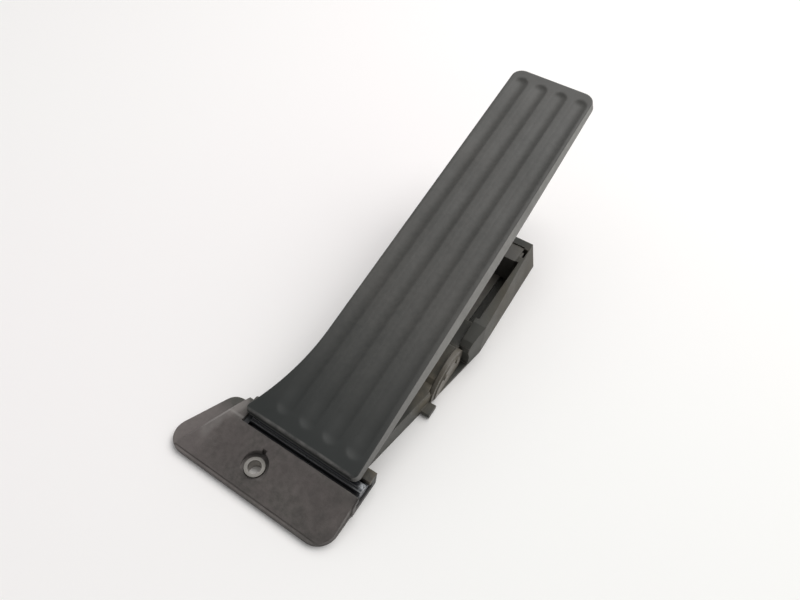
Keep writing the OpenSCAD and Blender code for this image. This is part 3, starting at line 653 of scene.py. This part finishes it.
RAIL_RIGHT, RAIL_LEFT, WEB_RIGHT, WEB_LEFT = -0.047, 0.015, -0.04, 0.011
rail_outline = [(11.0, 4.3), (23.0, 4.3), (23.0, 7.9), (19.6, 7.9), (19.3, 11.3), (18.2, 11.3),
                (17.6, 11.6), (16.4, 11.6), (15.9, 11.0), (15.5, 10.9), (15.3, 11.5), (15.0, 11.7),
                (14.75, 11.5), (14.6, 7.9), (11.0, 7.9)]
rail = long_bar("hinge_rail_bar", [(x / 1000, z / 1000) for x, z in rail_outline], RAIL_RIGHT, RAIL_LEFT,
                hinge_plastic)
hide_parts("hinge_rail")
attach(rail, "base")
end_outline = [(0.0128, 0.0052), (0.0208, 0.0052), (0.0208, 0.0108), (0.0128, 0.0108)]
rail_end = long_bar("hinge_rail_end", end_outline, 0.0151, 0.0178, hinge_plastic)
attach(rail_end, "base")
HINGE_X = 17
web_half = [(11.62, 1.0), (11.85, 0.62), (12.2, 0.42), (12.6, 0.35), (13.0, 0.35), (13.35, 0.4), (13.65, 0.6),
            (13.95, 0.95)]
web_outline = [(HINGE_X - w, z) for z, w in web_half] + [(HINGE_X + w, z) for z, w in reversed(web_half)]
web = long_bar("hinge_web_strip", [(x / 1000, z / 1000) for x, z in web_outline], WEB_RIGHT, WEB_LEFT,
               hinge_plastic, soften=0, stations=12)
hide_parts("hinge_web")
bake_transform(web)

# --- Treadle ---
# The long moulded pedal plate with finger grooves. Its upper half is a warmer, paler grey; the lower end
# is dark with a cool cast.

LENGTH, WIDTH, ANGLE, LOW_Z = 260.0, 53.0, 16.0, 18.0
EDGE_R, LOW_R, TIP_R = 0.9, 2.5, 7.0
SKIRT_LOW, SKIRT_MID, SKIRT_TIP, DRAFT, WALL = 4.0, 7.5, 5.0, 2.0, 2.6
RIM_R, INNER_R, SKIRT_WALL = 0.3, 0.5, 1.8
FLARE_W, FLARE_LEN = 11.5, 52.0
GROOVES, PITCH, GROOVE_W, GROOVE_D, MARGIN = 4, 12.9, 8.9, 1.35, 6.6
FAR_RIM, SOFT_RIM, RUN_IN, LOW_SHARE = 1.6, 0.13, 16, 0.55
FINE_STEP, WIDE_STEP, NEXT_STEP, COLUMNS = 0.6, 4.0, 1.4, 132


def left_edge(u):
    radius = (FLARE_LEN ** 2 + FLARE_W ** 2) / (2 * FLARE_W)
    flare = 0 if u >= FLARE_LEN else radius - math.sqrt(radius ** 2 - (FLARE_LEN - u) ** 2)
    return WIDTH / 2 - 2.6 * (1 - u / LENGTH) + flare


def right_edge(u):
    return WIDTH / 2 + 0.8 * (1 - u / LENGTH)


def skirt_depth(u):
    belly = LENGTH * 0.45
    if u < belly:
        return SKIRT_LOW + (SKIRT_MID - SKIRT_LOW) * math.sin(math.pi / 2 * max(u, 0) / belly)
    return SKIRT_TIP + (SKIRT_MID - SKIRT_TIP) * math.cos(math.pi / 2 * (u - belly) / (LENGTH - belly))


def groove_depth(u, v):
    """Depth of the finger grooves: round troughs with soft rims and ends, shallower at the low end."""
    deep = 0.0
    for k in range(GROOVES):
        middle = -PITCH * (GROOVES - 1) / 2 - 0.8 + k * PITCH
        u0, u1 = MARGIN + GROOVE_W / 2, LENGTH - MARGIN - GROOVE_W / 2
        along = u - min(max(u, u0), u1)
        reach = math.hypot(along, v - middle) / (GROOVE_W / 2)
        bowl = 1 - reach * reach
        if reach < FAR_RIM:
            deep = max(deep, 0.5 * (bowl + math.sqrt(bowl * bowl + SOFT_RIM * SOFT_RIM)) * GROOVE_D)
    run_in = min(max((u - MARGIN) / RUN_IN, 0), 1)
    return deep * (LOW_SHARE + (1 - LOW_SHARE) * run_in * run_in * (3 - 2 * run_in))


def treadle_mesh():
    low_r, tip_r = LOW_R - EDGE_R, TIP_R - EDGE_R
    rows = [EDGE_R + low_r * (1 - math.cos(math.pi / 2 * k / 5)) for k in range(5)]
    u = EDGE_R + low_r
    while u < LENGTH - TIP_R - 0.01:
        rows.append(u)
        near_end, plain = u < 17 or u > LENGTH - 18, 22 < u < LENGTH - 24
        u += FINE_STEP if near_end else WIDE_STEP if plain else NEXT_STEP
    rows += [LENGTH - EDGE_R - tip_r * (1 - math.sin(math.pi / 2 * k / 9)) for k in range(10)]
    bm = bmesh.new()
    grid = []
    for u in rows:
        if u < EDGE_R + low_r:
            inset = low_r - math.sqrt(max(0, low_r ** 2 - (EDGE_R + low_r - u) ** 2))
        elif u > LENGTH - TIP_R:
            inset = tip_r - math.sqrt(max(0, tip_r ** 2 - (u - LENGTH + TIP_R) ** 2))
        else:
            inset = 0
        a, b = -right_edge(u) + EDGE_R + inset, left_edge(u) - EDGE_R - inset
        across = [a + (b - a) * c / COLUMNS for c in range(COLUMNS + 1)]
        grid.append([bm.verts.new((u, v, -groove_depth(u, v))) for v in across])
    for low, high in zip(grid, grid[1:]):
        for c in range(COLUMNS):
            bm.faces.new((low[c], high[c], high[c + 1], low[c + 1]))
    rim = grid[0] + [row[-1] for row in grid[1:]] + grid[-1][-2::-1] + [row[0] for row in grid[-2:0:-1]]
    flat = [Vector((p.co.x, p.co.y)) for p in rim]
    count = len(rim)
    outward = []
    for k in range(count):
        way = (flat[(k + 1) % count] - flat[k - 1]).normalized()
        outward.append(Vector((-way.y, way.x)))
    depths = [skirt_depth(p.x) for p in flat]

    def ring(offset, height):
        corners = []
        for k in range(count):
            out = offset(k)
            x, y = flat[k].x + outward[k].x * out, flat[k].y + outward[k].y * out
            corners.append(bm.verts.new((x, y, height(k))))
        return corners

    def lean(depth):
        return EDGE_R + DRAFT * (depth - EDGE_R) / (SKIRT_MID - EDGE_R)

    steps = []
    for t in (18, 36, 54, 72, 90):
        t = math.radians(t)
        steps.append((lambda k, t=t: EDGE_R * math.sin(t), lambda k, t=t: -EDGE_R * (1 - math.cos(t))))
    for f in (0.35, 0.7):
        steps.append((lambda k, f=f: lean(EDGE_R + f * (depths[k] - EDGE_R)),
                      lambda k, f=f: -EDGE_R - f * (depths[k] - EDGE_R)))
    # round the lower rim, then up the inner wall and in under the plate
    steps.append((lambda k: lean(depths[k]) - 0.02, lambda k: -depths[k] + RIM_R))
    steps.append((lambda k: lean(depths[k]) - RIM_R, lambda k: -depths[k]))
    steps.append((lambda k: EDGE_R - SKIRT_WALL + RIM_R, lambda k: -depths[k]))
    steps.append((lambda k: EDGE_R - SKIRT_WALL, lambda k: -depths[k] + RIM_R))
    steps.append((lambda k: EDGE_R - SKIRT_WALL, lambda k: -WALL - INNER_R))
    steps.append((lambda k: EDGE_R - SKIRT_WALL - INNER_R, lambda k: -WALL))
    last = rim
    for offset, height in steps:
        new = ring(offset, height)
        for k in range(count):
            j = (k + 1) % count
            bm.faces.new((last[k], last[j], new[j], new[k]))
        last = new
    bm.faces.new(last)
    bmesh.ops.recalc_face_normals(bm, faces=bm.faces)
    for face in bm.faces:
        face.smooth = len(face.verts) == 4
    bm.transform(Matrix.Scale(0.001, 4))
    bm.transform(treadle_place)
    mesh = bpy.data.meshes.new("treadle_plate")
    bm.to_mesh(mesh)
    bm.free()
    return mesh


def rib_tree():
    """Ribs under the plate: two long ones beside the roller's track, and short ones across."""
    sizes = ("Pitch", "Thickness", "Depth", "Short length", "Long length", "Track")
    tree, gin = shape_tree("plate_ribs", *((name, "NodeSocketFloat") for name in sizes),
                           ("Rib count", "NodeSocketInt"))
    n, ln = tree.nodes, tree.links

    def maths(kind, a, b):
        node = n.new("ShaderNodeMath")
        node.operation = kind
        for spot, value in ((0, a), (1, b)):
            if isinstance(value, (int, float)):
                node.inputs[spot].default_value = value
            else:
                ln.new(value, node.inputs[spot])
        return node.outputs["Value"]

    def vector(x, y, z):
        node = n.new("ShaderNodeCombineXYZ")
        for axis, value in (("X", x), ("Y", y), ("Z", z)):
            if isinstance(value, (int, float)):
                node.inputs[axis].default_value = value
            else:
                ln.new(value, node.inputs[axis])
        return node.outputs["Vector"]

    pitch, thick, deep, short, long, track = (gin.outputs[name] for name in sizes)
    half_down = maths("MULTIPLY", deep, -0.5)
    pieces = []
    for side in (-1, 1):
        row = n.new("GeometryNodeMeshLine")
        ln.new(gin.outputs["Rib count"], row.inputs["Count"])
        middle = maths("MULTIPLY", maths("ADD", track, maths("MULTIPLY", short, 0.5)), side)
        ln.new(vector(0.0, middle, half_down), row.inputs["Start Location"])
        ln.new(vector(pitch, 0.0, 0.0), row.inputs["Offset"])
        rib = n.new("GeometryNodeMeshCube")
        ln.new(vector(thick, short, deep), rib.inputs["Size"])
        put = n.new("GeometryNodeInstanceOnPoints")
        ln.new(row.outputs["Mesh"], put.inputs["Points"])
        ln.new(rib.outputs["Mesh"], put.inputs["Instance"])
        pieces.append(put.outputs["Instances"])
        long_rib = n.new("GeometryNodeMeshCube")
        ln.new(vector(long, thick, deep), long_rib.inputs["Size"])
        move = n.new("GeometryNodeTransform")
        ln.new(long_rib.outputs["Mesh"], move.inputs["Geometry"])
        place = vector(maths("MULTIPLY", long, 0.5), maths("MULTIPLY", track, side), half_down)
        ln.new(place, move.inputs["Translation"])
        pieces.append(move.outputs["Geometry"])
    joined = n.new("GeometryNodeJoinGeometry")
    for part in pieces:
        ln.new(part, joined.inputs["Geometry"])
    end_tree(tree, gin, joined.outputs["Geometry"])
    return tree


def treadle_plastic_tone_and_sheen():
    """The treadle's plastic: dark and cool at the low end, warmer towards the tip, with a painted sheen on
    its right side.
    """
    # its pale edge colour paints a highlight along the rim, on top of some rubbed wear
    mat = moulded_plastic("treadle_plastic", (0.015, 0.0178, 0.0166), (0.022, 0.0245, 0.023),
                          rough=(0.5, 0.58), grain=0.1, edge_wear_and_highlight=0.6, radius=0.0009)
    tree = mat.node_tree
    shader = tree.nodes["Principled BSDF"]
    where = tree.nodes.new("ShaderNodeTexCoord").outputs["Object"]
    tone = group_node(tree, mould_grain, Grain_size=700.0, Patch_size=18.0)
    tree.links.new(where, tone.inputs["Vector"])
    split = tree.nodes.new("ShaderNodeSeparateXYZ")
    tree.links.new(where, split.inputs["Vector"])
    # paler and warmer towards the tip
    paler_share = remap(tree, split.outputs["X"], 0.02, 0.1, 0.0, 0.78)
    uneven = tree.nodes.new("ShaderNodeMath")
    uneven.operation = "MULTIPLY"
    uneven.use_clamp = True
    tree.links.new(paler_share, uneven.inputs[0])
    tree.links.new(remap(tree, tone.outputs["Patches"], 0.35, 0.65, 0.8, 1.2), uneven.inputs[1])
    below = shader.inputs["Base Color"].links[0].from_socket
    colour = blend_colour(tree, uneven.outputs["Value"], below, (0.062, 0.0595, 0.054))
    # painted sheen: the skirt's right side is tinted pale, paler towards the tip
    right_side_sheen = group_node(tree, settled_dust, Amount=1.8, Facing=(0, -2, -2), Patch_size=5.0)
    tree.links.new(where, right_side_sheen.inputs["Vector"])
    right_side_sheen_colour = blend_colour(tree, paler_share, (0.13, 0.127, 0.12), (0.24, 0.235, 0.22))
    colour = blend_colour(tree, right_side_sheen.outputs["Mask"], colour, right_side_sheen_colour)
    tree.links.new(colour, shader.inputs["Base Color"])
    shader.inputs["Specular IOR Level"].default_value = 0.45
    return mat


treadle_slope = Matrix.Rotation(math.radians(-ANGLE), 4, "Y")
treadle_place = Matrix.Translation((0.016, MIDLINE_Y, LOW_Z / 1000)) @ treadle_slope
treadle_plastic = treadle_plastic_tone_and_sheen()
# a painted highlight runs along the rim at the low end, and fine scuffs run over the upper half
coloured_place(treadle_plastic, (0.0164, -0.01, 0.0178), (0.0014, 0.05, 0.0016), 0.7, (0.15, 0.143, 0.135),
               0.8, 120.0)
coloured_place(treadle_plastic, (0.16, -0.016, 0.06), (0.16, 0.06, 0.07), 0.22, (0.1, 0.096, 0.088),
               1.0, 330.0)
plate = bpy.data.objects.new("treadle_plate", treadle_mesh())
scene.collection.objects.link(plate)
plate.data.materials.append(treadle_plastic)
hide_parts("treadle")
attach(plate, "treadle")
RIB_START, RIB_TOP = 0.098, -0.00255
ribs = grow("treadle_ribs", rib_tree(), [(0, 0, 0)], [], Pitch=0.026, Thickness=0.0016, Depth=0.00245,
            Short_length=0.0165, Long_length=0.154, Rib_count=6, Track=0.008, Material=treadle_plastic)
ribs.data.transform(treadle_place @ Matrix.Translation((RIB_START, 0, RIB_TOP)))
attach(ribs, "treadle")

# --- Stop pads ---
# Two black rubber studs on the end wall, which the pressed treadle lands on.

finish_node("stop_pads", gasket)
